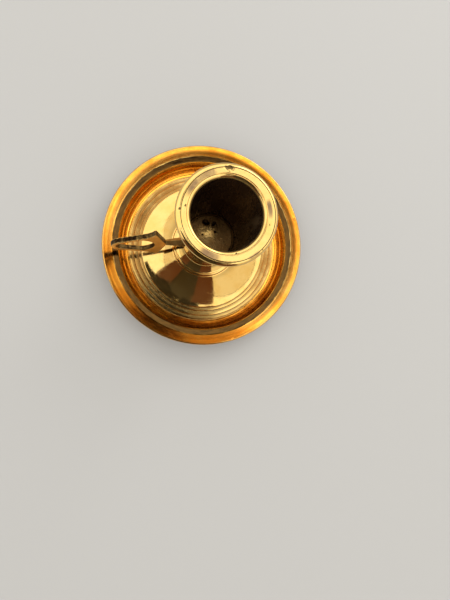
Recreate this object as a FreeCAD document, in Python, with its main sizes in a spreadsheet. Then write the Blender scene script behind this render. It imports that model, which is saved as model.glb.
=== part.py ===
import FreeCAD, Part
import math
import os
import re

import Sketcher

# A brass chamberstick: a round drip pan that rises to a flared middle, a waisted stem with a deep
# candle socket and a flanged rim, and a flat finger ring on a short arm.
# Millimetres. The origin is the middle of the base, on the table; +Z is up and the ring points
# along -X. The stem's lower end, the stud, the washer and the nut share the Z axis.

SIZES = {
    # drip pan, from its lip to its base ring
    "lip_top": 12.35,
    "lip_crest_radius": 41.9,
    "lip_edge_radius": 0.7,
    "lip_foot_radius": 38.7,
    "lip_foot_height": 10.65,
    "lip_flare": 14.0,
    "ledge_outer_radius": 38.3,
    "ledge_inner_radius": 35.9,
    "ledge_height": 10.22,
    "ledge_rise": 0.28,
    "ledge_fillet": 1.2,
    "ledge_edge": 0.5,
    "wall_radius": 35.5,
    "wall_foot_height": 6.2,
    "cove_radius": 5.0,
    "pan_wall": 1.6,
    "base_thickness": 1.75,
    "base_outer_radius": 34.4,
    "base_inner_radius": 27.0,
    # three low steps and the flared middle of the pan
    "step_gap": 0.3,
    "step_outer_radius": 32.0,
    "step_middle_radius": 30.2,
    "step_inner_radius": 28.1,
    "step_foot": 2.75,
    "step_rise": 0.8,
    "tread_fall": 0.1,
    "dome_radius": 26.7,
    "dome_edge_height": 4.95,
    "dome_flare": 34.8,
    "dome_setback": 1.0,
    "seat_radius": 13.8,
    "seat_height": 11.5,
    # stem and candle socket
    "foot_bead": 0.9,
    "foot_radius": 13.6,
    "neck_shelf_radius": 12.3,
    "waist_radius": 7.7,
    "waist_height": 20.5,
    "scotia_curve": 7.6,
    "bell_curve": 4.6,
    "cup_curve": 5.0,
    "cup_turn_radius": 9.0,
    "cup_turn_height": 24.2,
    "cup_radius": 10.5,
    "cup_height": 28.0,
    "tube_radius": 12.15,
    "shoulder_radius": 13.1,
    "shoulder_height": 1.2,
    "shoulder_cone": 1.1,
    "bore_radius": 11.0,
    "bore_length": 24.0,
    "bore_foot_radius": 9.5,
    "bore_foot_height": 31.0,
    "mouth_round": 1.15,
    "plug_seat": 26.6,
    # rim collar
    "rim_top": 72.0,
    "rim_radius": 15.65,
    "rim_thickness": 2.3,
    "rim_line_radius": 14.4,
    "rim_line_width": 0.15,
    "rim_line_depth": 0.14,
    "rim_crown": 0.12,
    # plug that closes the foot of the socket
    "plug_flange_rise": 1.5,
    "plug_rise": 2.6,
    "plug_radius": 8.9,
    "plug_crown": 0.35,
    # finger ring, its arm and the tenon that holds it in the stem
    "arm_height": 22.0,
    "ring_lean": 10.0,
    "ring_thickness": 2.2,
    "ring_reach": 38.1,
    "nose_radius": 4.7,
    "nose_turn": 0.4,
    "flank_reach": 24.3,
    "flank_height": 8.2,
    "shoulder_reach": 21.1,
    "shoulder_rise": 11.3,
    "shoulder_tip": 0.9,
    "flick_curve": 6.0,
    "neck_reach": 16.8,
    "neck_width": 1.0,
    "hole_reach": 36.0,
    "hole_nose": 2.9,
    "hole_flank_reach": 26.2,
    "hole_height": 5.8,
    "hole_heel": 21.2,
    "hole_heel_curve": 6.2,
    "ring_round": 0.5,
    "arm_root_reach": 6.6,
    "arm_root_width": 2.5,
    "arm_root_rise": 3.0,
    "arm_tip_rise": 1.3,
    "tenon_radius": 1.5,
    "tenon_reach": 3.9,
    # stud, washer and nut under the dome
    "stud_radius": 2.5,
    "stud_clearance": 0.25,
    "stud_top": 18.6,
    "stud_bottom": 3.4,
    "stud_chamfer": 0.5,
    "washer_radius": 8.0,
    "washer_thickness": 1.2,
    "nut_flats": 8.0,
    "nut_height": 4.0,
}

FULL_TURN = 360.0
HEX_SIDES = 6
TOUCHING = 1e-4

doc = FreeCAD.newDocument("Chamberstick")
sheet = doc.addObject("Spreadsheet::Sheet", "Sizes")
for row, (name, value) in enumerate(SIZES.items(), start=1):
    sheet.set(f"A{row}", name)
    sheet.set(f"B{row}", str(value))
    sheet.setAlias(f"B{row}", name)
doc.recompute()


def bound(text):
    """An expression over the sheet's names, as FreeCAD reads it."""
    return re.sub(r"[a-z]+(?:_[a-z]+)+", r"Sizes.\g<0>", text)


def size(text):
    """The number that an expression over the sheet's names has now."""
    value = sheet.evalExpression(bound(text))
    return float(getattr(value, "Value", value))


def new_body(name):
    """An empty body whose label is the piece's name."""
    body = doc.addObject("PartDesign::Body", name)
    body.Label = name
    return body


def plane_of(body, role):
    """One of the body's own origin planes."""
    return next(f for f in body.Origin.OriginFeatures if f.Role == role)


def new_sketch(body, name, role, offset=None):
    """A sketch on an origin plane, moved along the plane's normal by an expression."""
    sketch = body.newObject("Sketcher::SketchObject", name)
    sketch.AttachmentSupport = [(plane_of(body, role), "")]
    sketch.MapMode = "FlatFace"
    if offset:
        sketch.setExpression("AttachmentOffset.Base.z", bound(offset))
    return sketch


def bind(sketch, kind, refs, text):
    """A dimension of the sketch that follows an expression."""
    index = sketch.addConstraint(Sketcher.Constraint(kind, *refs, size(text)))
    sketch.setExpression(f"Constraints[{index}]", bound(text))


def pin_point(sketch, geo, pos, across, up):
    """Fixes a point at two expressions from the sketch's origin; "0" puts it on the axis."""
    for kind, axis, text in (("DistanceX", -2, across), ("DistanceY", -1, up)):
        if text == "0":
            sketch.addConstraint(Sketcher.Constraint("PointOnObject", geo, pos, axis))
        else:
            bind(sketch, kind, (-1, 1, geo, pos), text)


def arc_middle(start, end, radius, side):
    """The middle of the shorter arc from start to end; side 1 has its centre to the left."""
    chord = end - start
    left = FreeCAD.Vector(-chord.y, chord.x, 0).normalize()
    sagitta = radius - math.sqrt(radius**2 - (chord.Length / 2) ** 2)
    return (start + end) * 0.5 - left * side * sagitta


def closed_outline(sketch, corners):
    """Draws a closed outline through corners (across, up) or (across, up, radius, side).

    A corner with a radius is reached by an arc, whose centre is to the left of the way for
    side 1 and to the right for side -1; any other corner is reached by a straight line.
    """
    points = [FreeCAD.Vector(size(c[0]), size(c[1]), 0) for c in corners]
    ends = []
    for index, corner in enumerate(corners):
        start, end = points[index - 1], points[index]
        if len(corner) == 2:
            geo = sketch.addGeometry(Part.LineSegment(start, end), False)
            ends.append((geo, 1, 2))
            continue
        middle = arc_middle(start, end, size(corner[2]), corner[3])
        if corner[3] > 0:
            geo = sketch.addGeometry(Part.Arc(start, middle, end), False)
            ends.append((geo, 1, 2))
        else:
            geo = sketch.addGeometry(Part.Arc(end, middle, start), False)
            ends.append((geo, 2, 1))
    for index, (geo, start_pos, end_pos) in enumerate(ends):
        before = ends[index - 1]
        sketch.addConstraint(Sketcher.Constraint("Coincident", before[0], before[2], geo, start_pos))
        pin_point(sketch, geo, end_pos, *corners[index][:2])
        if len(corners[index]) == 4:
            bind(sketch, "Radius", (geo,), corners[index][2])


def turned(body, name, corners):
    """A solid turned about Z from its half section: radius across, height up."""
    sketch = new_sketch(body, f"{name}_section", "XZ_Plane")
    closed_outline(sketch, corners)
    feature = body.newObject("PartDesign::Revolution", name)
    feature.Profile = sketch
    feature.ReferenceAxis = (sketch, ["V_Axis"])
    feature.Angle = FULL_TURN
    doc.recompute()
    return feature


def round_sketch(body, name, role, offset, radius, up="0"):
    """A circle on an offset plane, its centre on the plane's vertical axis."""
    sketch = new_sketch(body, name, role, offset)
    circle = Part.Circle(FreeCAD.Vector(0, size(up), 0), FreeCAD.Vector(0, 0, 1), size(radius))
    geo = sketch.addGeometry(circle, False)
    pin_point(sketch, geo, 3, "0", up)
    bind(sketch, "Radius", (geo,), radius)
    return sketch


def bore_out(body, name, sketch, depth, reverse):
    """Pockets a sketch to a depth and makes sure that it took something away."""
    before = body.Shape.Volume
    pocket = body.newObject("PartDesign::Pocket", name)
    pocket.Profile = sketch
    pocket.Reversed = reverse
    pocket.setExpression("Length", bound(depth))
    doc.recompute()
    if body.Shape.Volume >= before:
        raise RuntimeError(f"{name} took nothing away")
    return pocket


def make_drip_pan():
    """The pan: flared lip, narrow ledge, coved wall, base ring, three steps and the middle."""
    body = new_body("drip_pan")
    hole = "stud_radius + stud_clearance"
    turned(body, "pan_turning", [
        (hole, "seat_height"),
        (hole, "seat_height - pan_wall"),
        ("seat_radius - pan_wall / 2", "seat_height - pan_wall"),
        ("dome_radius - dome_setback", "dome_edge_height - pan_wall", "dome_flare + pan_wall", 1),
        ("base_inner_radius", "0"),
        ("base_outer_radius", "0"),
        ("wall_radius + pan_wall", "wall_foot_height", "cove_radius + pan_wall", 1),
        ("ledge_inner_radius + pan_wall", "ledge_height - pan_wall"),
        ("lip_crest_radius", "lip_top - 2 * lip_edge_radius"),
        ("lip_crest_radius + lip_edge_radius", "lip_top - lip_edge_radius", "lip_edge_radius", 1),
        ("lip_crest_radius", "lip_top", "lip_edge_radius", 1),
        ("lip_foot_radius", "lip_foot_height", "lip_flare", -1),
        ("ledge_outer_radius", "ledge_height + ledge_rise", "ledge_fillet", -1),
        ("ledge_inner_radius + ledge_edge", "ledge_height"),
        ("ledge_inner_radius", "ledge_height - ledge_edge", "ledge_edge", 1),
        ("wall_radius", "wall_foot_height"),
        ("step_outer_radius + step_gap", "base_thickness", "cove_radius", -1),
        ("step_outer_radius", "base_thickness"),
        ("step_outer_radius", "step_foot"),
        ("step_middle_radius", "step_foot + tread_fall"),
        ("step_middle_radius", "step_foot + step_rise"),
        ("step_inner_radius", "step_foot + step_rise + tread_fall"),
        ("step_inner_radius", "step_foot + 2 * step_rise"),
        ("dome_radius", "step_foot + 2 * step_rise + tread_fall"),
        ("dome_radius", "dome_edge_height"),
        ("seat_radius", "seat_height", "dome_flare", -1),
    ])
    return body


def make_candle_socket():
    """The stem and its socket: beaded foot, waist, bell and a long flared tube."""
    body = new_body("candle_socket")
    collar_seat = "rim_top - rim_thickness"
    turned(body, "socket_turning", [
        ("0", "plug_seat"),
        ("0", "seat_height"),
        ("foot_radius - foot_bead", "seat_height"),
        ("foot_radius", "seat_height + foot_bead", "foot_bead", 1),
        ("foot_radius - foot_bead", "seat_height + 2 * foot_bead", "foot_bead", 1),
        ("neck_shelf_radius", "seat_height + 2 * foot_bead"),
        ("waist_radius", "waist_height", "scotia_curve", -1),
        ("cup_turn_radius", "cup_turn_height", "bell_curve", -1),
        ("cup_radius", "cup_height", "cup_curve", 1),
        ("tube_radius", "rim_top - rim_thickness - shoulder_height - shoulder_cone"),
        ("shoulder_radius", "rim_top - rim_thickness - shoulder_height"),
        ("shoulder_radius", collar_seat),
        ("tube_radius", collar_seat),
        ("tube_radius", "rim_top - rim_crown"),
        ("bore_radius", "rim_top - rim_crown - mouth_round", "mouth_round", 1),
        ("bore_radius", "rim_top - rim_crown - mouth_round - bore_length"),
        ("bore_foot_radius", "bore_foot_height"),
        ("bore_foot_radius", "plug_seat"),
    ])
    stud_hole = round_sketch(body, "stud_hole_circle", "XY_Plane", "seat_height", "stud_radius")
    bore_out(body, "stud_hole", stud_hole, "stud_top - seat_height", True)
    tenon_hole = new_sketch(body, "tenon_hole_circle", "YZ_Plane", "-tenon_reach")
    geo = tenon_hole.addGeometry(
        Part.Circle(FreeCAD.Vector(0, size("arm_height"), 0), FreeCAD.Vector(0, 0, 1), size("tenon_radius"))
    )
    pin_point(tenon_hole, geo, 3, "0", "arm_height")
    bind(tenon_hole, "Radius", (geo,), "tenon_radius")
    bore_out(body, "tenon_hole", tenon_hole, "cup_radius", False)
    return body


def make_rim_collar():
    """The flat flanged ring pressed over the end of the tube, with a bead round its edge."""
    body = new_body("rim_collar")
    seat = "rim_top - rim_thickness"
    half = "rim_thickness / 2"
    line_inner = "rim_line_radius - rim_line_width"
    turned(body, "collar_turning", [
        ("tube_radius", seat),
        (f"rim_radius - {half}", seat),
        ("rim_radius", f"{seat} + {half}", half, 1),
        (f"rim_radius - {half}", "rim_top", half, 1),
        ("rim_line_radius", "rim_top - rim_line_depth"),
        (line_inner, "rim_top"),
        ("tube_radius", "rim_top - rim_crown"),
    ])
    return body


def make_socket_plug():
    """The cast plug at the foot of the socket: a flange that fits the bore and a lower crown."""
    body = new_body("socket_plug")
    turned(body, "plug_turning", [
        ("0", "plug_seat"),
        ("bore_foot_radius", "plug_seat"),
        ("bore_foot_radius", "plug_seat + plug_flange_rise"),
        ("plug_radius", "plug_seat + plug_flange_rise"),
        ("plug_radius", "plug_seat + plug_rise - plug_crown"),
        ("0", "plug_seat + plug_rise", "(plug_radius ^ 2 + plug_crown ^ 2) / plug_crown / 2", 1),
    ])
    return body


def diamond(body, name, reach, width, rise):
    """A four-cornered section across the arm, its corners on the sketch's axes."""
    sketch = new_sketch(body, name, "YZ_Plane", reach)
    across, up = size(width), size(rise)
    tips = [(across, 0), (0, up), (-across, 0), (0, -up)]
    points = [FreeCAD.Vector(x, y, 0) for x, y in tips]
    for index, point in enumerate(points):
        sketch.addGeometry(Part.LineSegment(points[index - 1], point), False)
    for index in range(len(points)):
        sketch.addConstraint(Sketcher.Constraint("Coincident", index - 1 if index else 3, 2, index, 1))
    pin_point(sketch, 0, 2, width, "0")
    pin_point(sketch, 1, 2, "0", rise)
    sketch.addConstraint(Sketcher.Constraint("Symmetric", 0, 2, 2, 2, -1, 1))
    sketch.addConstraint(Sketcher.Constraint("Symmetric", 1, 2, 3, 2, -1, 1))
    return sketch


def make_finger_handle(socket):
    """The cast handle: a flat ring with two shoulders, a diamond arm and a round tenon.

    Its body is drawn along +X about the arm's own line, then turned to point along -X, leaned
    over and lifted to the arm's height. The arm's root is cut to the stem's surface.
    """
    body = new_body("handle_casting")
    half = new_sketch(body, "ring_half", "XZ_Plane")
    nose = "ring_reach - nose_radius"
    hole_nose = "hole_reach - hole_nose"
    closed_outline(half, [
        ("ring_reach", "0"),
        (f"{nose} + nose_radius * nose_turn", "nose_radius * sqrt(1 - nose_turn ^ 2)", "nose_radius", 1),
        ("flank_reach", "flank_height"),
        ("shoulder_reach", "shoulder_rise", "flick_curve", -1),
        ("shoulder_reach - shoulder_tip", "shoulder_rise - shoulder_tip / 2", "shoulder_tip", 1),
        ("neck_reach", "neck_width"),
        ("neck_reach", "0"),
        ("hole_heel", "0"),
        ("hole_flank_reach", "hole_height", "hole_heel_curve", -1),
        (f"{hole_nose} + hole_nose * nose_turn", "hole_nose * sqrt(1 - nose_turn ^ 2)"),
        ("hole_reach", "0", "hole_nose", -1),
    ])
    plate = body.newObject("PartDesign::Pad", "ring_plate")
    plate.Profile = half
    plate.SideType = "Symmetric"
    plate.setExpression("Length", bound("ring_thickness"))
    doc.recompute()
    mirror = body.newObject("PartDesign::Mirrored", "ring_mirrored")
    mirror.Originals = [plate]
    mirror.MirrorPlane = (plane_of(body, "XY_Plane"), [""])
    body.Tip = mirror
    doc.recompute()
    face_height = size("ring_thickness") / 2
    rounded = body.newObject("PartDesign::Fillet", "ring_rounded")
    rounded.Base = (mirror, [
        f"Edge{index}"
        for index, edge in enumerate(mirror.Shape.Edges, start=1)
        if all(abs(abs(v.Y) - face_height) < TOUCHING for v in edge.Vertexes)
        and all(abs(v.X - size("neck_reach")) > TOUCHING for v in edge.Vertexes)
    ])
    rounded.setExpression("Radius", bound("ring_round"))
    doc.recompute()

    root = diamond(body, "arm_root", "arm_root_reach", "arm_root_width", "arm_root_rise")
    tip = diamond(body, "arm_tip", "neck_reach + neck_width", "ring_thickness / 2", "arm_tip_rise")
    arm = body.newObject("PartDesign::AdditiveLoft", "arm")
    arm.Profile = root
    arm.Sections = [tip]
    arm.Ruled = True
    doc.recompute()
    tenon_circle = round_sketch(body, "tenon_circle", "YZ_Plane", "tenon_reach", "tenon_radius")
    tenon = body.newObject("PartDesign::Pad", "tenon")
    tenon.Profile = tenon_circle
    tenon.setExpression("Length", bound("arm_root_reach - tenon_reach + arm_root_width"))
    doc.recompute()

    half_turn = FreeCAD.Rotation(FreeCAD.Vector(0, 0, 1), FULL_TURN / 2)
    lean = FreeCAD.Rotation(FreeCAD.Vector(1, 0, 0), -size("ring_lean"))
    body.Placement = FreeCAD.Placement(FreeCAD.Vector(0, 0, size("arm_height")), lean * half_turn)
    body.setExpression("Placement.Base.z", bound("arm_height"))

    fitted = doc.addObject("Part::Cut", "finger_handle")
    fitted.Label = "finger_handle"
    fitted.Base = body
    fitted.Tool = socket
    doc.recompute()
    return fitted


def make_centre_stud():
    """The threaded stud, shown plain, with a chamfer at each end."""
    body = new_body("centre_stud")
    edge = "stud_radius - stud_chamfer"
    turned(body, "stud_turning", [
        ("0", "stud_bottom"),
        (edge, "stud_bottom"),
        ("stud_radius", "stud_bottom + stud_chamfer"),
        ("stud_radius", "stud_top - stud_chamfer"),
        (edge, "stud_top"),
        ("0", "stud_top"),
    ])
    return body


def make_centre_washer():
    """The plain washer between the nut and the underside of the dome."""
    body = new_body("centre_washer")
    top = "seat_height - pan_wall"
    turned(body, "washer_turning", [
        ("stud_radius + stud_clearance", f"{top} - washer_thickness"),
        ("washer_radius", f"{top} - washer_thickness"),
        ("washer_radius", top),
        ("stud_radius + stud_clearance", top),
    ])
    return body


def make_centre_nut():
    """The hexagon nut that pulls the stem down on the pan."""
    body = new_body("centre_nut")
    top = "seat_height - pan_wall - washer_thickness"
    sketch = new_sketch(body, "nut_outline", "XY_Plane", f"{top} - nut_height")
    corner = size("nut_flats") / math.sqrt(3)
    steps = [math.radians(index * FULL_TURN / HEX_SIDES) for index in range(HEX_SIDES)]
    points = [FreeCAD.Vector(corner * math.cos(a), corner * math.sin(a), 0) for a in steps]
    for index, point in enumerate(points):
        sketch.addGeometry(Part.LineSegment(points[index - 1], point), False)
    guide = sketch.addGeometry(Part.Circle(FreeCAD.Vector(0, 0, 0), FreeCAD.Vector(0, 0, 1), corner), True)
    for index in range(HEX_SIDES):
        before = (index - 1) % HEX_SIDES
        sketch.addConstraint(Sketcher.Constraint("Coincident", before, 2, index, 1))
        sketch.addConstraint(Sketcher.Constraint("PointOnObject", index, 2, guide))
    for index in range(1, HEX_SIDES):
        sketch.addConstraint(Sketcher.Constraint("Equal", 0, index))
    sketch.addConstraint(Sketcher.Constraint("Coincident", guide, 3, -1, 1))
    sketch.addConstraint(Sketcher.Constraint("PointOnObject", 0, 2, -1))
    bind(sketch, "Radius", (guide,), "nut_flats / sqrt(3)")
    prism = body.newObject("PartDesign::Pad", "nut_prism")
    prism.Profile = sketch
    prism.setExpression("Length", bound("nut_height"))
    doc.recompute()
    hole = round_sketch(body, "nut_hole_circle", "XY_Plane", f"{top} - nut_height", "stud_radius")
    bore_out(body, "nut_hole", hole, "nut_height", True)
    return body


candle_socket = make_candle_socket()
pieces = [
    make_drip_pan(),
    candle_socket,
    make_rim_collar(),
    make_socket_plug(),
    make_finger_handle(candle_socket),
    make_centre_stud(),
    make_centre_washer(),
    make_centre_nut(),
]
doc.recompute()

for item in doc.Objects:
    if "Invalid" in item.State or "Error" in item.State:
        raise RuntimeError(f"{item.Name} did not recompute: {item.State}")
for piece in pieces:
    if piece.Shape.isNull() or not piece.Shape.isValid():
        raise RuntimeError(f"{piece.Label} has no valid shape")

os.makedirs("parts", exist_ok=True)
for piece in pieces:
    piece.Shape.exportStep(f"parts/{piece.Label}.step")
    box = piece.Shape.BoundBox
    print(f"{piece.Label}: {len(piece.Shape.Solids)} solid, {piece.Shape.Volume:.0f} mm3, "
          f"x {box.XMin:.1f}..{box.XMax:.1f}, y {box.YMin:.1f}..{box.YMax:.1f}, z {box.ZMin:.1f}..{box.ZMax:.1f}")
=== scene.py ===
"""A polished brass chamberstick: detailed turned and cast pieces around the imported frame."""

import math

import bmesh
import bpy
from mathutils import Euler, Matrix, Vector, noise


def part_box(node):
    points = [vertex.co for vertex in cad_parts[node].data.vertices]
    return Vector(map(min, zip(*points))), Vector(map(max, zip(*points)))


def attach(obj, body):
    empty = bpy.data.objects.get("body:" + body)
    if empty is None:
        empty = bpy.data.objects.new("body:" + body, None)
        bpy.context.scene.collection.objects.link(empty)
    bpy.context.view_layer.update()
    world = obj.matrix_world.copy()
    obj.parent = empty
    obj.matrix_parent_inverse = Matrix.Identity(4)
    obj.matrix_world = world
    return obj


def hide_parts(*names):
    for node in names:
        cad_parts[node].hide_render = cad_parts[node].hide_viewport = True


MM = 0.001
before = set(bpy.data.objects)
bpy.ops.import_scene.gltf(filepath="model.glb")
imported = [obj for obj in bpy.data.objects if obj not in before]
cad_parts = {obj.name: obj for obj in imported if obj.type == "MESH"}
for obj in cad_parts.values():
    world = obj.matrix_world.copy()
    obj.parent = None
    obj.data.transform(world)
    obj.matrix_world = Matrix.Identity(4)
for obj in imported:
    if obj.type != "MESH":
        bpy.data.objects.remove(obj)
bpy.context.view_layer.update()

BODY = "root"
TURNS = 360                      # segments round a turned piece
CORNER_ANGLE = math.radians(32)  # a sharper turn of the section is a real edge
STRAIGHT_ANGLE = math.radians(0.05)  # a smaller turn is none
EDGE_ROUND = 0.22 * MM           # what polishing takes off an edge
WAVE_DEPTH = 0.05 * MM           # how uneven hand polishing leaves a turned face
WAVE_LENGTH = 9 * MM             # and over what distance
FINE_STEP = 0.2 * MM             # spacing of points along a stretch that carries small marks
SMOOTH_STEP = 0.3 * MM           # spacing along other smooth stretches
STRAIGHT_STEP = 0.9 * MM         # spacing along straight runs
STRAIGHT_RUN = 4.0 * MM          # a longer segment of the section is straight
LONG_RUN = 3.0                   # a segment this many times its neighbour's length is a straight run


# ---------------------------------------------------------------- sections and turned pieces

def half_section(node):
    """The outline of a turned CAD node in the half plane y = 0, x > 0, as (radius, height)."""
    bm = bmesh.new()
    bm.from_mesh(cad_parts[node].data)
    bmesh.ops.remove_doubles(bm, verts=bm.verts, dist=1e-6)
    everything = bm.verts[:] + bm.edges[:] + bm.faces[:]
    cut = bmesh.ops.bisect_plane(
        bm, geom=everything, dist=1e-6, plane_co=(0, 0, 0), plane_no=(0, 1, 0)
    )
    beside = {}
    for edge in cut["geom_cut"]:
        if isinstance(edge, bmesh.types.BMEdge) and all(v.co.x > -1e-6 for v in edge.verts):
            one, two = edge.verts
            beside.setdefault(one, []).append(two)
            beside.setdefault(two, []).append(one)
    ends = sorted((v for v in beside if len(beside[v]) == 1), key=lambda v: v.co.z)
    start = ends[0] if ends else min(beside, key=lambda v: (v.co.z, v.co.x))
    chain = [start]
    before, here = None, start
    while True:
        following = [v for v in beside[here] if v is not before and v is not start]
        if not following:
            break
        before, here = here, following[0]
        chain.append(here)
    points = [Vector((max(v.co.x, 0.0), v.co.z)) for v in chain]
    bm.free()
    return points, not ends


def turn_at(before, here, after):
    """Signed angle by which the section turns at a point."""
    one, two = here - before, after - here
    return math.atan2(one.x * two.y - one.y * two.x, one.dot(two))


def without_straight(points, closed):
    """Drops the points that lie in the middle of a straight run."""
    kept = []
    last = len(points) - 1
    for index, here in enumerate(points):
        if not closed and index in (0, last):
            kept.append(here)
            continue
        before, after = points[index - 1], points[(index + 1) % len(points)]
        if abs(turn_at(before, here, after)) > STRAIGHT_ANGLE:
            kept.append(here)
    return kept


def refined_section(node, curve_step, straight_step):
    """The node's section with rounded edges and evenly filled curves.

    Each point is (radius, height, shade_and_grime): painted shade with soiling, 1 in an inner corner and
    falling to 0 beside it.
    """
    points, closed = half_section(node)
    points = without_straight(points, closed)
    count = len(points)
    area = sum(
        points[i - 1].x * points[i].y - points[i].x * points[i - 1].y for i in range(count)
    )
    way = 1 if area > 0 else -1
    rounded = []
    for index, here in enumerate(points):
        inner = closed or 0 < index < count - 1
        if not inner:
            rounded.append((here, True, 0.0))
            continue
        before, after = points[index - 1], points[(index + 1) % count]
        angle = turn_at(before, here, after)
        if abs(angle) < CORNER_ANGLE:
            rounded.append((here, False, 0.0))
            continue
        reach = min(EDGE_ROUND, (here - before).length / 3, (after - here).length / 3)
        start = here + (before - here).normalized() * reach
        end = here + (after - here).normalized() * reach
        # painted shade with soiling: full in an inner corner
        shade_and_dirt = 1.0 if angle * way < 0 else 0.0
        for share in (0.0, 0.33, 0.67, 1.0):
            bend = start.lerp(here, share).lerp(here.lerp(end, share), share)
            rounded.append((bend, share in (0.0, 1.0), shade_and_dirt))
    filled = []
    count = len(rounded)
    spans = count if closed else count - 1
    for index in range(spans):
        one, sharp_one, shade_and_dirt_one = rounded[index]
        two, sharp_two, shade_and_dirt_two = rounded[(index + 1) % count]
        earlier = one if sharp_one else rounded[index - 1][0]
        later = two if sharp_two else rounded[(index + 2) % count][0]
        length = (two - one).length
        spacing = straight_step if length > STRAIGHT_RUN else curve_step
        steps = max(1, math.ceil(length / spacing))
        for step in range(steps):
            share = step / steps
            point = spline_point(earlier, one, two, later, share)
            filled.append((point.x, point.y, shade_and_dirt_one + (shade_and_dirt_two - shade_and_dirt_one) * share))
    if not closed:
        point, _, shade_and_dirt = rounded[-1]
        filled.append((point.x, point.y, shade_and_dirt))
    return filled, closed


def spline_point(earlier, one, two, later, share):
    """A Hermite curve from one to two whose end tangents look at the neighbouring points."""
    length = (two - one).length
    if length > STRAIGHT_RUN:
        return one.lerp(two, share)
    start = (two - one) if earlier is one else tangent(earlier, one, two) * length
    end = (two - one) if later is two else tangent(one, two, later) * length
    squared, cubed = share**2, share**3
    return (
        one * (2 * cubed - 3 * squared + 1)
        + start * (cubed - 2 * squared + share)
        + two * (3 * squared - 2 * cubed)
        + end * (cubed - squared)
    )


def tangent(before, here, after):
    """Unit tangent at a point, each neighbour weighted by the other's distance.

    Beside a much longer straight run it is the run's own direction, so that the curve doesn't swing out.
    """
    one, two = here - before, after - here
    if one.length > min(STRAIGHT_RUN, LONG_RUN * two.length):
        return one.normalized()
    if two.length > min(STRAIGHT_RUN, LONG_RUN * one.length):
        return two.normalized()
    return (one * two.length / one.length + two * one.length / two.length).normalized()


def turned_mesh(name, section, closed, waviness=0.0):
    """A mesh turned about Z from a section, slightly wavy as hand polishing leaves it."""
    rings = []
    vertices, shade_and_grime = [], []
    for radius, height, shade_and_dirt in section:
        if radius < 1e-7:
            rings.append([len(vertices)] * TURNS)
            vertices.append(Vector((0, 0, height)))
            shade_and_grime.append(shade_and_dirt)
            continue
        ring = []
        for turn in range(TURNS):
            angle = math.tau * turn / TURNS
            ring.append(len(vertices))
            vertices.append(Vector((radius * math.cos(angle), radius * math.sin(angle), height)))
            shade_and_grime.append(shade_and_dirt)
        rings.append(ring)
    faces = []
    spans = len(rings) if closed else len(rings) - 1
    for index in range(spans):
        lower, upper = rings[index], rings[(index + 1) % len(rings)]
        for turn in range(TURNS):
            after = (turn + 1) % TURNS
            corners = [lower[turn], lower[after], upper[after], upper[turn]]
            unique = list(dict.fromkeys(corners))
            if len(unique) > 2:
                faces.append(unique)
    mesh = bpy.data.meshes.new(name)
    mesh.from_pydata(vertices, [], faces)
    bm = bmesh.new()
    bm.from_mesh(mesh)
    bmesh.ops.recalc_face_normals(bm, faces=bm.faces)
    bm.normal_update()
    if waviness:
        for vertex in bm.verts:
            place = vertex.co / WAVE_LENGTH
            vertex.co -= vertex.normal * waviness * (0.5 + 0.5 * noise.noise(place))
    bm.to_mesh(mesh)
    bm.free()
    mesh.attributes.new("shade_and_grime", "FLOAT", "POINT").data.foreach_set("value", shade_and_grime)
    mesh.polygons.foreach_set("use_smooth", [True] * len(mesh.polygons))
    return mesh


def new_piece(name, mesh, node, material):
    """Adds a detailed piece that rides on the body and stands for one CAD node."""
    piece = bpy.data.objects.new(name, mesh)
    bpy.context.scene.collection.objects.link(piece)
    mesh.materials.clear()
    mesh.materials.append(material)
    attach(piece, BODY)
    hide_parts(node)
    return piece


def dent(mesh, azimuth, reach, radius, depth, lowest=0.0, darkness=1.0):
    """Presses a small pit into the top of a turned mesh and darkens it with painted shade and soiling.
    Millimetres and degrees.
    """
    angle = math.radians(azimuth)
    centre = Vector((reach * math.cos(angle), reach * math.sin(angle))) * MM
    values = mesh.attributes["shade_and_grime"].data
    for vertex in mesh.vertices:
        distance = (vertex.co.xy - centre).length / (radius * MM)
        if distance < 1 and vertex.co.z > lowest * MM:
            fall = 1 - distance**2
            vertex.co.z -= depth * MM * fall
            value = values[vertex.index]
            value.value = max(value.value, darkness * min(1.0, 2 * fall))


def dark_patch(mesh, azimuth, spread, reach, width, lowest):
    """Marks a dull crescent round an azimuth on the top of a turned mesh. Millimetres and degrees."""
    layer = mesh.attributes.get("dark_patch") or mesh.attributes.new("dark_patch", "FLOAT", "POINT")
    for vertex in mesh.vertices:
        if vertex.co.z < lowest * MM:
            continue
        turn = math.degrees(math.atan2(vertex.co.y, vertex.co.x)) - azimuth
        turn = (turn + 180) % 360 - 180
        away = (vertex.co.xy.length / MM - reach) / width
        strength = math.exp(-((turn / spread) ** 4) - away**6)
        layer.data[vertex.index].value = max(layer.data[vertex.index].value, strength)


def shaded_bore(mesh, azimuth):
    """Marks the wall of a bore, and where shade is painted on it: fully at an azimuth and not at the opposite
    one.
    """
    wall = mesh.attributes.new("bore", "FLOAT", "POINT")
    bore_shade = mesh.attributes.new("bore_shade", "FLOAT", "POINT")
    for vertex in mesh.vertices:
        turn = math.atan2(vertex.co.y, vertex.co.x) - math.radians(azimuth)
        bore_shade.data[vertex.index].value = 0.5 + 0.5 * math.cos(turn)
        facing_in = -vertex.normal.xy.dot(vertex.co.xy.normalized())
        wall.data[vertex.index].value = max(0.0, min(1.0, 2 * facing_in - 0.9))


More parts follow.
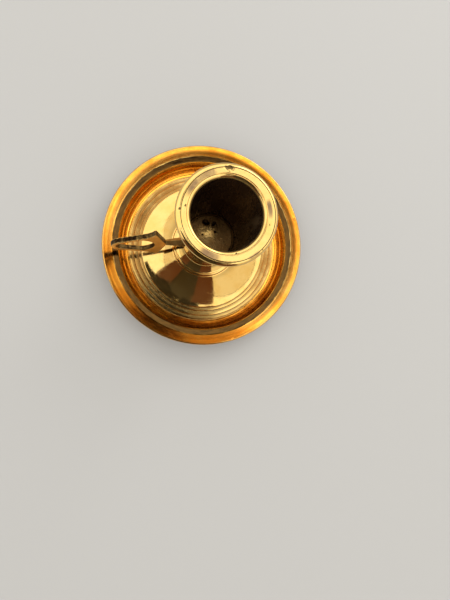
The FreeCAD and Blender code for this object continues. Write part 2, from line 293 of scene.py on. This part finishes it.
def shaded_worn_collar_line(mesh, line_radius, top):
    """Moves the turned line on the collar off centre, as an uneven polish leaves it, and paints shade into
    the line.
    """
    for vertex in mesh.vertices:
        reach = vertex.co.xy.length
        if abs(reach - line_radius) < 0.3 * MM and -0.2 * MM < vertex.co.z - top < -0.05 * MM:
            mesh.attributes["shade_and_grime"].data[vertex.index].value = 1.0
        near = max(0.0, 1 - abs(reach - line_radius) / (1.2 * MM))
        if vertex.co.z > top - 0.5 * MM and near > 0:
            angle = math.atan2(vertex.co.y, vertex.co.x)
            shift = (LINE_SHIFT + LINE_SWING * math.cos(angle + LINE_TURN)) * near
            vertex.co.x += shift * math.cos(angle)
            vertex.co.y += shift * math.sin(angle)


# ---------------------------------------------------------------- materials

class Nodes:
    """Short calls for building a material's node tree."""

    def __init__(self, name):
        self.material = bpy.data.materials.new(name)
        self.material.use_nodes = True
        self.tree = self.material.node_tree
        self.shader = self.tree.nodes["Principled BSDF"]

    def add(self, kind, **values):
        node = self.tree.nodes.new(kind)
        for key, value in values.items():
            setattr(node, key, value)
        return node

    def link(self, source, target):
        self.tree.links.new(source, target)

    def math(self, operation, one, two=None, clamp=False):
        node = self.add("ShaderNodeMath", operation=operation, use_clamp=clamp)
        for socket, value in zip(node.inputs, (one, two)):
            self.feed(value, socket)
        return node.outputs[0]

    def feed(self, value, socket):
        if value is None:
            return
        if isinstance(value, bpy.types.NodeSocket):
            self.link(value, socket)
        else:
            socket.default_value = value

    def position(self):
        return self.add("ShaderNodeTexCoord").outputs["Object"]

    def scaled(self, vector, scale):
        node = self.add("ShaderNodeVectorMath", operation="MULTIPLY")
        self.link(vector, node.inputs[0])
        node.inputs[1].default_value = scale
        return node.outputs[0]

    def noise(self, vector, scale, detail=3.0, roughness=0.5):
        node = self.add("ShaderNodeTexNoise")
        self.link(vector, node.inputs["Vector"])
        node.inputs["Scale"].default_value = scale
        node.inputs["Detail"].default_value = detail
        node.inputs["Roughness"].default_value = roughness
        return node.outputs["Fac"]

    def ramp(self, value, low, high, start=0.0, end=1.0):
        """Maps value from low..high to start..end, smoothly."""
        node = self.add("ShaderNodeMapRange", interpolation_type="SMOOTHSTEP")
        self.link(value, node.inputs["Value"])
        for key, number in (("From Min", low), ("From Max", high), ("To Min", start), ("To Max", end)):
            node.inputs[key].default_value = number
        return node.outputs["Result"]

    def mix(self, factor, one, two):
        node = self.add("ShaderNodeMix", data_type="RGBA")
        self.feed(factor, node.inputs[0])
        self.feed(one, node.inputs[6])
        self.feed(two, node.inputs[7])
        return node.outputs[2]

    def attribute(self, name):
        return self.add("ShaderNodeAttribute", attribute_name=name).outputs["Fac"]

    def around(self, along, across):
        """Coordinates stretched round the Z axis: slow with the angle, quick with radius and height."""
        parts = self.add("ShaderNodeSeparateXYZ")
        self.link(self.position(), parts.inputs[0])
        flat = self.add("ShaderNodeCombineXYZ")
        self.link(parts.outputs[0], flat.inputs[0])
        self.link(parts.outputs[1], flat.inputs[1])
        unit = self.add("ShaderNodeVectorMath", operation="NORMALIZE")
        self.link(flat.outputs[0], unit.inputs[0])
        length = self.add("ShaderNodeVectorMath", operation="LENGTH")
        self.link(flat.outputs[0], length.inputs[0])
        spread = self.math("ADD", self.math("MULTIPLY", length.outputs["Value"], across),
                           self.math("MULTIPLY", parts.outputs[2], across * 0.93))
        slow = self.scaled(unit.outputs[0], (along, along, along))
        lift = self.add("ShaderNodeCombineXYZ")
        self.link(spread, lift.inputs[2])
        total = self.add("ShaderNodeVectorMath", operation="ADD")
        self.link(slow, total.inputs[0])
        self.link(lift.outputs[0], total.inputs[1])
        return total.outputs[0], length.outputs["Value"], parts.outputs[2]

    def bumps(self, *layers):
        """Chains bump nodes; each layer is (height socket, depth in metres)."""
        before = None
        for height, depth in layers:
            node = self.add("ShaderNodeBump")
            node.inputs["Distance"].default_value = depth
            self.link(height, node.inputs["Height"])
            if before:
                self.link(before, node.inputs["Normal"])
            before = node.outputs["Normal"]
        self.link(before, self.shader.inputs["Normal"])

    def pits(self, spacing, size, share):
        """Small sparse pits: 1 inside, 0 outside. share is how many cells have one."""
        cells = self.add("ShaderNodeTexVoronoi")
        self.link(self.position(), cells.inputs["Vector"])
        cells.inputs["Scale"].default_value = 1 / spacing
        near = self.ramp(cells.outputs["Distance"], size / spacing, 0.4 * size / spacing)
        pick = self.add("ShaderNodeSeparateColor")
        self.link(cells.outputs["Color"], pick.inputs[0])
        chosen = self.math("LESS_THAN", pick.outputs[0], share)
        return self.math("MULTIPLY", near, chosen)


BRASS_BRIGHT = (0.93, 0.63, 0.21, 1)
BRASS_WARM = (0.88, 0.54, 0.14, 1)
# deep orange for the pan's lip: a painted reflection of brass in brass
BRASS_INTERREFLECTION = (0.72, 0.32, 0.055, 1)
# painted shade with soiling, for inner corners, grooves and pits
BRASS_SHADE_AND_GRIME = (0.045, 0.026, 0.012, 1)
COLLAR_PATCH = (0.27, 0.165, 0.085, 1)
# painted shade for the pan's steps, cove and lip
PAN_PAINTED_SHADE = (0.36, 0.18, 0.045, 1)
# dark tones for the pan's ledge: a painted reflection
LEDGE_PAINTED_REFLECTION = ((0.085, 0.046, 0.015, 1), (0.17, 0.085, 0.022, 1))
# a band of painted shade across the pan's lip
LIP_PAINTED_SHADE = (0.33, 0.14, 0.025, 1)
BORE_BROWN = ((0.06, 0.034, 0.018, 1), (0.50, 0.32, 0.15, 1))
BORE_GRAZING = (1.0, 0.82, 0.55, 1)
# painted shade in the bore, and its tint at grazing angles
PAINTED_BORE_SHADE = (0.030, 0.015, 0.008, 1)
PAINTED_BORE_SHADE_GRAZING = (0.62, 0.44, 0.30, 1)
# filed faces of the handle, and a painted pool of light on the plug
CAST_FACE_AND_LIT_SPOT = ((1.0, 0.66, 0.22, 1), (0.90, 0.52, 0.14, 1))
HANDLE_SKIN = ((0.016, 0.008, 0.004, 1), (0.17, 0.095, 0.032, 1))
PLUG_SKIN = ((0.14, 0.07, 0.03, 1), (0.46, 0.26, 0.10, 1))


def polished_brass(name, patch_colour, bore=None, painted_ledge=None, corner_shade_and_dirt=0.85):
    """Hand-polished brass, faintly tarnished: turning lines, wipe marks, small pits, and painted shade with
    soiling in the pits and inner corners.

    bore is (lowest, highest): the wall of a socket, where the brass is brown and dull, with painted shade
    toward one side and toward the bottom.
    painted_ledge is (inner, outer): a ledge between two radii, painted dark as a painted reflection, with a
    painted deep orange reflection of brass in brass and a band of painted shade on the lip outside it.
    patch_colour fills the patches of the "dark_patch" attribute, and corner_shade_and_dirt is how dark the
    painted shade and soiling in the inner corners are.
    """
    n = Nodes(name)
    rings, radius, height = n.around(1.3, 5200.0)
    wipes, _, _ = n.around(9.0, 900.0)
    cloud = n.noise(n.position(), 150.0, 4.0, 0.6)
    ring_lines = n.noise(rings, 1.0, 2.0, 0.6)
    wipe_marks = n.noise(wipes, 1.0, 4.0, 0.7)
    hair = n.noise(n.scaled(n.position(), (3200.0, 700.0, 1500.0)), 1.0, 3.0, 0.7)
    pits = n.pits(3.2 * MM, 0.16 * MM, 0.30)
    shade_and_grime = n.ramp(n.attribute("shade_and_grime"), 0.15, 1.0)
    colour = n.mix(n.ramp(cloud, 0.40, 0.68, 0.0, 0.75), BRASS_BRIGHT, BRASS_WARM)
    # painted shade with soiling in the inner corners, grooves and pits
    shade_and_dirt = n.math("MAXIMUM", n.math("MULTIPLY", shade_and_grime, corner_shade_and_dirt), n.math("MULTIPLY", pits, 0.8))
    colour = n.mix(shade_and_dirt, colour, BRASS_SHADE_AND_GRIME)
    # darker patches; on the pan they are painted shade
    dark_patch = n.math("MULTIPLY", n.ramp(n.attribute("dark_patch"), 0.0, 1.0), n.ramp(cloud, 0.30, 0.60, 0.5, 1.0))
    colour = n.mix(dark_patch, colour, patch_colour)
    if painted_ledge:
        inner, outer = painted_ledge
        ragged = n.math("ADD", radius, n.ramp(wipe_marks, 0.2, 0.8, -0.25 * MM, 0.25 * MM))
        # the ledge is painted dark: a painted reflection
        band = n.math("MULTIPLY", n.ramp(ragged, inner - 0.5 * MM, inner + 0.5 * MM),
                      n.ramp(ragged, outer + 0.2 * MM, outer - 0.2 * MM))
        ledge_reflection = n.mix(n.ramp(wipe_marks, 0.35, 0.65), *LEDGE_PAINTED_REFLECTION)
        colour = n.mix(band, colour, ledge_reflection)
        lip_wear = n.ramp(radius, outer, outer + 1.2 * MM, 0.0, 0.04)
        # the lip is painted deep orange: a painted reflection of brass in brass
        painted_interreflection = n.math("MULTIPLY", n.ramp(radius, outer, outer + 0.8 * MM),
                         n.ramp(cloud, 0.35, 0.65, 0.35, 0.75))
        colour = n.mix(painted_interreflection, colour, BRASS_INTERREFLECTION)
        # a band of painted shade across the lip
        streak = n.math("MULTIPLY", n.ramp(ragged, outer + 0.5 * MM, outer + 1.5 * MM),
                        n.ramp(ragged, outer + 2.4 * MM, outer + 1.7 * MM))
        colour = n.mix(n.math("MULTIPLY", streak, 0.55), colour, LIP_PAINTED_SHADE)
    rough = n.math("ADD", n.ramp(wipe_marks, 0.35, 0.75, 0.06, 0.15),
                   n.ramp(hair, 0.55, 0.8, 0.0, 0.09))
    rough = n.math("ADD", rough, n.math("MULTIPLY", shade_and_dirt, 0.35), clamp=True)
    if painted_ledge:
        rough = n.math("ADD", rough, lip_wear)
    if bore:
        lowest, highest = bore
        inside = n.math("MULTIPLY", n.attribute("bore"),
                        n.math("MULTIPLY", n.ramp(height, lowest - MM, lowest),
                               n.ramp(height, highest - 0.2 * MM, highest - 1.4 * MM)))
        streak = n.noise(n.scaled(n.position(), (420.0, 420.0, 60.0)), 1.0, 4.0, 0.65)
        brown = n.mix(n.ramp(streak, 0.45, 0.8), *BORE_BROWN)
        # painted shade: darker toward one side of the bore and toward its bottom
        bore_shade = n.math("MAXIMUM", n.ramp(n.attribute("bore_shade"), 0.25, 0.7),
                      n.ramp(height, lowest + 24 * MM, lowest + 8 * MM))
        brown = n.mix(bore_shade, brown, PAINTED_BORE_SHADE)
        edge = n.mix(bore_shade, BORE_GRAZING, PAINTED_BORE_SHADE_GRAZING)
        n.link(n.mix(inside, (1.0, 1.0, 1.0, 1), edge), n.shader.inputs["Specular Tint"])
        colour = n.mix(inside, colour, brown)
        rough = n.math("ADD", rough, n.math("MULTIPLY", inside, n.ramp(streak, 0.3, 0.75, 0.10, 0.30)),
                       clamp=True)
    n.link(colour, n.shader.inputs["Base Color"])
    n.link(rough, n.shader.inputs["Roughness"])
    n.shader.inputs["Metallic"].default_value = 1.0
    if bore:
        oxide = n.math("MULTIPLY", inside, 0.6)
        n.link(n.math("SUBTRACT", 1.0, oxide), n.shader.inputs["Metallic"])
    n.bumps((ring_lines, 0.0022 * MM), (wipe_marks, 0.012 * MM), (pits, -0.05 * MM))
    return n.material


def cast_brass(name, crust, skin, gloss):
    """Sand-cast brass: pitted and brown where rough, filed and bright on its flat faces.

    crust is the depth of the grain, skin the dark and the light colour of the rough surface, and
    gloss the lowest and the highest roughness of the filed faces.
    """
    n = Nodes(name)
    grain = n.noise(n.position(), 1500.0, 6.0, 0.7)
    lumps = n.noise(n.position(), 420.0, 4.0, 0.6)
    pits = n.pits(1.6 * MM, 0.17 * MM, 0.45)
    rough_share = n.attribute("rough")
    files = n.noise(n.scaled(n.position(), (260.0, 2600.0, 2600.0)), 1.0, 4.0, 0.75)
    bright = n.mix(n.ramp(lumps, 0.35, 0.7), *CAST_FACE_AND_LIT_SPOT)
    brown = n.mix(n.ramp(grain, 0.5, 0.8), *skin)
    # bright where the "rough" attribute is low: filed faces on the handle, a painted pool of light on the
    # plug
    colour = n.mix(rough_share, bright, brown)
    # painted shade with soiling in pits and corners
    shade_and_dirt = n.math("MAXIMUM", n.math("MULTIPLY", pits, 0.85), n.math("MULTIPLY", n.attribute("shade_and_grime"), 0.9))
    colour = n.mix(shade_and_dirt, colour, BRASS_SHADE_AND_GRIME)
    smooth = n.ramp(files, 0.35, 0.75, *gloss)
    coarse = n.ramp(grain, 0.35, 0.7, 0.28, 0.55)
    mixer = n.add("ShaderNodeMix", data_type="FLOAT")
    n.link(rough_share, mixer.inputs[0])
    n.link(smooth, mixer.inputs[2])
    n.link(coarse, mixer.inputs[3])
    n.link(colour, n.shader.inputs["Base Color"])
    n.link(mixer.outputs[0], n.shader.inputs["Roughness"])
    n.shader.inputs["Metallic"].default_value = 1.0
    n.bumps((n.math("MULTIPLY", grain, rough_share), crust), (pits, -0.12 * MM), (files, 0.012 * MM))
    return n.material


def plated_steel(name):
    """Dull zinc plate with a few stains and fine scratches."""
    n = Nodes(name)
    cloud = n.noise(n.position(), 500.0, 5.0, 0.65)
    lines, _, _ = n.around(4.0, 4200.0)
    scratches = n.noise(lines, 1.0, 3.0, 0.6)
    colour = n.mix(n.ramp(cloud, 0.4, 0.7), (0.60, 0.60, 0.58, 1), (0.42, 0.40, 0.34, 1))
    # painted shade with soiling where the corner attribute is set
    colour = n.mix(n.ramp(n.attribute("shade_and_grime"), 0.1, 1.0, 0.0, 0.8), colour, (0.12, 0.10, 0.08, 1))
    n.link(colour, n.shader.inputs["Base Color"])
    n.link(n.ramp(cloud, 0.35, 0.7, 0.26, 0.46), n.shader.inputs["Roughness"])
    n.shader.inputs["Metallic"].default_value = 1.0
    n.bumps((scratches, 0.01 * MM), (cloud, 0.02 * MM))
    return n.material


# ---------------------------------------------------------------- pieces

COLLAR_DENTS = [  # azimuth, reach, radius, depth: one nick and a few pits
    (81.5, 13.9, 0.70, 0.16), (84.0, 14.1, 0.80, 0.20), (87.0, 13.8, 0.75, 0.18), (89.0, 14.1, 0.45, 0.12),
    (84.4, 12.9, 0.22, 0.04), (172.2, 14.25, 0.42, 0.16), (167.3, 12.75, 0.36, 0.12),
    (196.0, 14.5, 0.22, 0.06), (344.0, 13.0, 0.26, 0.04), (312.0, 14.9, 0.30, 0.08),
]
COLLAR_PATCHES = [  # azimuth, half spread, reach, half width: dull crescents
    (127, 26, 13.0, 0.8), (110, 8, 12.9, 1.2), (243, 14, 13.2, 1.0), (300, 8, 14.6, 0.5), (5, 12, 13.1, 0.7),
]
PAN_SHADE_PATCHES = [  # the same: painted shade on the steps, in the cove and on the lip
    (110, 110, 29.3, 2.6), (0, 45, 29.3, 2.6), (285, 45, 33.5, 2.3), (245, 50, 40.0, 2.2),
]
PAN_DENTS = [
    (300.6, 31.8, 0.60, 0.12), (328.9, 31.0, 0.45, 0.08), (113.0, 29.6, 0.35, 0.06), (14.0, 41.6, 0.50, 0.06),
    (284.0, 41.9, 0.60, 0.08), (38.0, 42.0, 0.40, 0.06),
]
PLUG_DENTS = [
    (100.8, 6.5, 1.30, 0.55), (94.0, 5.9, 0.90, 0.35), (68.9, 6.3, 0.85, 0.50), (70.0, 5.5, 0.60, 0.30),
    (44.0, 3.4, 0.55, 0.30), (150.0, 3.0, 0.35, 0.12), (240.0, 5.0, 0.50, 0.12),
]
SOCKET_DENTS = [(279.0, 12.0, 0.45, 0.10)]
LEDGE = (35.9 * MM, 38.4 * MM)   # inner and outer radius of the pan's ledge
COLLAR_LINE = 14.4 * MM          # radius of the line turned in the collar
LINE_SHIFT = -0.15 * MM          # how far wear moves that line on average,
LINE_SWING = 0.42 * MM           # and how much more or less round the collar
LINE_TURN = math.radians(20)
SHADED_SIDE = 95                  # azimuth where the painted shade in the bore is darkest
LIT_SPOT = Vector((-0.6, 2.6)) * MM  # where a pool of light is painted on the plug
LIT_REACH = 2.6 * MM


def make_turned_pieces():
    """The pan, the stem with its socket, and the collar, each turned from its CAD section."""
    plug_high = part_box("socket_plug")[1]
    collar_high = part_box("rim_collar")[1]
    bore = (plug_high.z, collar_high.z)
    plain = polished_brass("polished_brass_pan", PAN_PAINTED_SHADE, painted_ledge=LEDGE, corner_shade_and_dirt=0.5)
    with_bore = polished_brass("polished_brass_socket", COLLAR_PATCH, bore)
    pieces = {}
    for node, material in (("drip_pan", plain), ("candle_socket", with_bore), ("rim_collar", with_bore)):
        spacing = FINE_STEP if node == "rim_collar" else SMOOTH_STEP
        section, closed = refined_section(node, spacing, STRAIGHT_STEP)
        mesh = turned_mesh(f"{node}_turned", section, closed, waviness=WAVE_DEPTH)
        pieces[node] = new_piece(f"{node}_turned", mesh, node, material)
    collar, socket, pan = (pieces[n].data for n in ("rim_collar", "candle_socket", "drip_pan"))
    shaded_worn_collar_line(collar, COLLAR_LINE, collar_high.z)
    shaded_bore(socket, SHADED_SIDE)
    for azimuth, spread, reach, width in COLLAR_PATCHES:
        dark_patch(collar, azimuth, spread, reach, width, lowest=71.3)
    for azimuth, reach, radius, depth in COLLAR_DENTS:
        dent(collar, azimuth, reach, radius, depth, lowest=71.3)
    for azimuth, reach, radius, depth in SOCKET_DENTS:
        dent(socket, azimuth, reach, radius, depth, lowest=71.0)
    for azimuth, spread, reach, width in PAN_SHADE_PATCHES:
        dark_patch(pan, azimuth, spread, reach, width, lowest=2.0)
    for azimuth, reach, radius, depth in PAN_DENTS:
        dent(pan, azimuth, reach, radius, depth, lowest=2.0, darkness=0.8)


def make_plug():
    """The rough cast plug at the foot of the socket."""
    section, closed = refined_section("socket_plug", FINE_STEP, FINE_STEP)
    mesh = turned_mesh("socket_plug_cast", section, closed)
    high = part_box("socket_plug")[1]
    rough = mesh.attributes.new("rough", "FLOAT", "POINT")
    for vertex in mesh.vertices:
        if vertex.co.z > high.z - 0.8 * MM:  # only the crown is lumpy
            lumps = noise.noise(vertex.co / (2.6 * MM)) + 0.5 * noise.noise(vertex.co / (0.9 * MM))
            vertex.co.z -= 0.16 * MM * (0.6 + 0.4 * lumps)
        # a painted pool of light: bright and smooth round one spot
        lit = (vertex.co.xy - LIT_SPOT).length / LIT_REACH
        rough.data[vertex.index].value = 0.8 - 0.8 * math.exp(-(lit**2))
    for azimuth, reach, radius, depth in PLUG_DENTS:
        dent(mesh, azimuth, reach, radius, depth, lowest=28.3)
    material = cast_brass("cast_brass_plug", 0.04 * MM, PLUG_SKIN, (0.14, 0.26))
    new_piece("socket_plug_cast", mesh, "socket_plug", material)


RING_LEAN = math.radians(10.0)
ARM_HEIGHT = 22.0 * MM
NECK_REACH = 16.6 * MM           # the ring starts here, the arm ends
FLANK_REACH = 20 * MM            # the scallops start here
SCALLOP_PITCH = 1.9 * MM
SCALLOP_DEPTH = 0.34 * MM


def ring_frame(point):
    """A point in the ring's own frame: outward from the stem, up in the ring's plane, across it."""
    up = point.y * math.sin(RING_LEAN) + (point.z - ARM_HEIGHT) * math.cos(RING_LEAN)
    across = point.y * math.cos(RING_LEAN) - (point.z - ARM_HEIGHT) * math.sin(RING_LEAN)
    return -point.x, up, across


def make_handle():
    """The cast ring and its arm, remeshed fine, with scalloped outer edges and a cast skin."""
    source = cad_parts["finger_handle"].data.copy()
    holder = bpy.data.objects.new("finger_handle_cast", source)
    bpy.context.scene.collection.objects.link(holder)
    weld = holder.modifiers.new("weld", "WELD")
    weld.merge_threshold = 1e-6
    remesh = holder.modifiers.new("remesh", "REMESH")
    remesh.mode = "VOXEL"
    remesh.voxel_size = 0.14 * MM
    smooth = holder.modifiers.new("smooth", "SMOOTH")
    smooth.factor = 0.5
    smooth.iterations = 3
    mesh = bpy.data.meshes.new_from_object(holder.evaluated_get(bpy.context.evaluated_depsgraph_get()))
    bpy.data.objects.remove(holder)
    rough = mesh.attributes.new("rough", "FLOAT", "POINT")
    mesh.attributes.new("shade_and_grime", "FLOAT", "POINT")
    normals = [vertex.normal.copy() for vertex in mesh.vertices]
    for vertex, normal in zip(mesh.vertices, normals):
        out, up, across = ring_frame(vertex.co)
        _, normal_up, normal_across = ring_frame(normal + Vector((0, 0, ARM_HEIGHT)))
        on_ring = out > NECK_REACH
        edge = max(0.0, min(1.0, (0.9 - abs(normal_across)) / 0.5)) if on_ring else 0.6
        crust = noise.noise(vertex.co / (0.8 * MM)) * 0.6 + noise.noise(vertex.co / (2.2 * MM))
        sink = (0.5 + 0.5 * crust) * (0.09 * edge + 0.02) * MM
        if out > FLANK_REACH and up * normal_up > 0 and abs(normal_up) > 0.25:
            phase = abs(math.cos(math.pi * out / SCALLOP_PITCH))
            sink += SCALLOP_DEPTH * (1 - phase) * abs(normal_up) * edge
        vertex.co -= normal * sink
        rough.data[vertex.index].value = min(1.0, edge * (0.97 + 0.2 * crust))
    mesh.polygons.foreach_set("use_smooth", [True] * len(mesh.polygons))
    material = cast_brass("cast_brass_handle", 0.16 * MM, HANDLE_SKIN, (0.40, 0.55))
    new_piece("finger_handle_cast", mesh, "finger_handle", material)


def make_fixings():
    """The nut, washer and stud under the dome: the CAD shapes, with a steel finish."""
    steel = plated_steel("plated_steel_fixings")
    for node in ("centre_stud", "centre_washer", "centre_nut"):
        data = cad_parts[node].data
        data.materials.clear()
        data.materials.append(steel)


# ---------------------------------------------------------------- stage, light and camera

def flat_board(name, centre, size, facing, material):
    """A rectangular board for the stage, facing a point."""
    mesh = bpy.data.meshes.new(name)
    wide, tall = size[0] / 2, size[1] / 2
    corners = [(-wide, -tall, 0), (wide, -tall, 0), (wide, tall, 0), (-wide, tall, 0)]
    mesh.from_pydata(corners, [], [(0, 1, 2, 3)])
    mesh.materials.append(material)
    board = bpy.data.objects.new(name, mesh)
    bpy.context.scene.collection.objects.link(board)
    board.location = centre
    board.rotation_mode = "QUATERNION"
    board.rotation_quaternion = (Vector(facing) - Vector(centre)).to_track_quat("Z", "Y")
    return board


def plain_material(name, colour, roughness=0.8):
    """A plain painted board."""
    n = Nodes(name)
    n.shader.inputs["Base Color"].default_value = (*colour, 1)
    n.shader.inputs["Roughness"].default_value = roughness
    return n.material


def glowing_material(name, colour, strength):
    """A light panel: it gives light and reflects none."""
    n = Nodes(name)
    n.shader.inputs["Base Color"].default_value = (0.02, 0.02, 0.02, 1)
    n.shader.inputs["Emission Color"].default_value = (*colour, 1)
    n.shader.inputs["Emission Strength"].default_value = strength
    return n.material


def level_board(name, corner, opposite, height, material):
    """A level board over the table, seen only in reflections."""
    middle = ((corner[0] + opposite[0]) / 2, (corner[1] + opposite[1]) / 2, height)
    size = (abs(opposite[0] - corner[0]), abs(opposite[1] - corner[1]))
    board = flat_board(name, middle, size, (middle[0], middle[1], 0), material)
    board.rotation_quaternion = (0, 1, 0, 0)
    return board


def standing_board(name, azimuth, distance, width, height, material):
    """An upright board round the table, facing the candlestick."""
    angle = math.radians(azimuth)
    foot = (distance * math.cos(angle), distance * math.sin(angle))
    return flat_board(name, (*foot, height / 2), (width, height), (0, 0, height / 2), material)


PANEL_MIDDLE = (-0.29, 0.573)    # of the soft panel overhead, metres


def make_stage():
    """A pale table, a soft panel overhead, and plain dark boards where a person would lean over."""
    paint = plain_material("floor_paint", (0.46, 0.457, 0.447), 0.6)
    flat_board("floor", (0, 0, -0.0002), (6, 6), (0, 0, 1), paint)
    graphite = plain_material("graphite_board", (0.022, 0.017, 0.011))
    rust = plain_material("rust_board", (0.10, 0.028, 0.008))
    olive = plain_material("olive_board", (0.022, 0.014, 0.004))
    taupe = plain_material("taupe_board", (0.34, 0.28, 0.25))
    panel = glowing_material("soft_panel", (1.0, 0.985, 0.95), 1.4)
    frame_edge = plain_material("panel_frame", (0.05, 0.045, 0.04), 0.9)
    dark_boards = [
        level_board("near_board", (-0.058, -0.160), (0.004, -0.012), 0.207, graphite),
        level_board("side_board", (-0.200, -0.170), (-0.075, -0.005), 0.26, olive),
        level_board("upper_board_near", (-0.085, -0.320), (0.088, 0.062), 0.55, taupe),
        level_board("upper_board_far", (-0.085, 0.118), (0.088, 0.190), 0.55, taupe),
        standing_board("rust_board_left", 212, 0.34, 0.14, 0.50, rust),
        standing_board("olive_board_middle", 245, 0.36, 0.30, 0.62, olive),
        standing_board("rust_board_right", 275, 0.34, 0.17, 0.50, rust),
    ]
    overhead = []
    for index, (size, height, material) in enumerate(((3.6, 1.3, panel), (3.68, 1.31, frame_edge))):
        middle = (*PANEL_MIDDLE, height)
        board = flat_board(f"overhead_{index}", middle, (size, size), (*PANEL_MIDDLE, 0), material)
        board.rotation_mode = "XYZ"
        board.rotation_euler = (math.pi, 0, math.radians(45))
        overhead.append(board)
    for board in dark_boards + overhead:
        board.visible_camera = False
    for board in dark_boards:
        board.visible_diffuse = False
        board.visible_shadow = False


def make_light():
    """Soft light: pale surroundings that darken toward the horizon."""
    world = bpy.data.worlds.new("soft_room")
    bpy.context.scene.world = world
    world.use_nodes = True
    tree = world.node_tree
    background = tree.nodes["Background"]
    coordinate = tree.nodes.new("ShaderNodeTexCoord")
    parts = tree.nodes.new("ShaderNodeSeparateXYZ")
    tree.links.new(coordinate.outputs["Generated"], parts.inputs[0])
    height = tree.nodes.new("ShaderNodeMapRange")
    height.inputs["From Min"].default_value = 0.0
    height.inputs["From Max"].default_value = 0.35
    tree.links.new(parts.outputs[2], height.inputs["Value"])
    mix = tree.nodes.new("ShaderNodeMix")
    mix.data_type = "RGBA"
    mix.inputs[6].default_value = (0.30, 0.27, 0.24, 1)
    mix.inputs[7].default_value = (0.95, 0.88, 0.78, 1)
    tree.links.new(height.outputs["Result"], mix.inputs[0])
    tree.links.new(mix.outputs[2], background.inputs["Color"])
    background.inputs["Strength"].default_value = 1.0
    window = bpy.data.lights.new("window_light", "AREA")
    window.shape = "RECTANGLE"
    window.size, window.size_y = 1.0, 1.0
    window.energy = 8.0
    lamp = bpy.data.objects.new("window_light", window)
    bpy.context.scene.collection.objects.link(lamp)
    lamp.location = (0.9, 0.9, 1.1)
    lamp.rotation_mode = "QUATERNION"
    lamp.rotation_quaternion = lamp.location.to_track_quat("Z", "Y")


CAMERA_PLACE = Vector((-23.8, -28.3, 204.4)) * MM
CAMERA_TILT = (1.81, -9.10, -3.5)  # degrees about X, Y and Z
LENS = 27.4                      # millimetres
SENSOR_WIDTH = 36.0


def make_camera():
    """The camera looks down from a hand's breadth above the rim, a little to the front left."""
    data = bpy.data.cameras.new("camera")
    data.sensor_width = SENSOR_WIDTH
    data.lens = LENS
    data.clip_start = 0.01
    camera = bpy.data.objects.new("camera", data)
    bpy.context.scene.collection.objects.link(camera)
    camera.location = CAMERA_PLACE
    camera.rotation_euler = Euler([math.radians(angle) for angle in CAMERA_TILT], "XYZ")
    bpy.context.scene.camera = camera


make_camera()
make_turned_pieces()
make_plug()
make_handle()
make_fixings()
make_stage()
make_light()
bpy.context.scene.view_settings.view_transform = "Standard"
